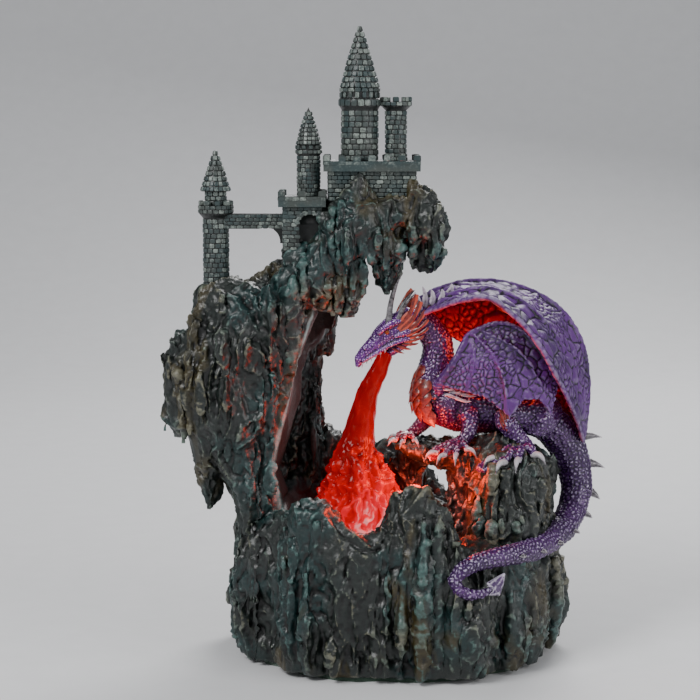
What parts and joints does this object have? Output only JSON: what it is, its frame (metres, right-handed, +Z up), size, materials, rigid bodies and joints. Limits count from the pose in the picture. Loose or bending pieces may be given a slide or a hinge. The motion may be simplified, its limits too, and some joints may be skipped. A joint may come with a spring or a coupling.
{
  "type": "dice tower",
  "caption": "Rocky dice tower: dice drop in behind a small castle, run down a channel in the crag and stop in a crater with a lit fire that a winged dragon breathes.",
  "frame": {"origin": "middle of the felt's underside", "axes": "+Z up, -Y is the front, +X to the right when seen from the front"},
  "size_m": [0.2189, 0.1431, 0.3055],
  "materials": {
    "rock": "painted cast resin, dark green with pale dry-brushed edges, glossy",
    "castle_stone": "painted cast resin, dark brick with pale edges, satin",
    "dragon_skin": "painted cast resin, purple with silvery raised scales",
    "wing_skin": "painted cast resin, purple with silvery raised cells, red underside",
    "horn": "painted cast resin, pale grey",
    "flame_resin": "clear red cast resin, lit from below",
    "lamp_lens": "clear lamp body",
    "circuit_board": "green solder mask",
    "steel": "plain",
    "black_plastic": "moulded, fine texture",
    "felt": "felt",
    "cell_wrap": "printed wrap without text",
    "nickel": "nickel plate",
    "red_wire": "insulated wire",
    "black_wire": "insulated wire"
  },
  "bodies": {
    "root": {"base_rock": "rock", "crag_rock": "rock", "crag_arm": "rock", "perch_rock": "rock", "keep": "castle_stone", "great_tower": "castle_stone", "round_tower": "castle_stone", "gatehouse": "castle_stone", "gate_tower": "castle_stone", "watch_tower": "castle_stone", "bridge": "castle_stone", "tower_pins": "steel", "rock_dowels": "steel", "wing_pins": "steel", "dragon_body": "dragon_skin", "dragon_head": "dragon_skin", "tail": "dragon_skin", "tail_tip": "dragon_skin", "right_wing": "wing_skin", "left_wing": "wing_skin", "horns": "horn", "spines": "horn", "flame": "flame_resin", "leds": "lamp_lens", "led_board": "circuit_board", "board_screws": "steel", "plate_screws": "steel", "switch_screws": "steel", "base_plate": "black_plastic", "battery_box": "black_plastic", "switch_body": "black_plastic", "felt_pad": "felt", "cells": "cell_wrap", "contact_springs": "nickel", "contact_plates": "nickel", "red_lead": "red_wire", "black_leads": "black_wire"},
    "battery_door": {"battery_door": "black_plastic", "door_screws": "steel"},
    "switch_lever": {"switch_lever": "black_plastic"}
  },
  "joints": [
    {"name": "battery_door_lift_off", "type": "slide", "parent": "root", "child": "battery_door", "axis": [0, 0, -1], "range_m": [0, 0.03]},
    {"name": "switch_slide", "type": "slide", "parent": "root", "child": "switch_lever", "axis": [1, 0, 0], "range_m": [0, 0.002]}
  ]
}
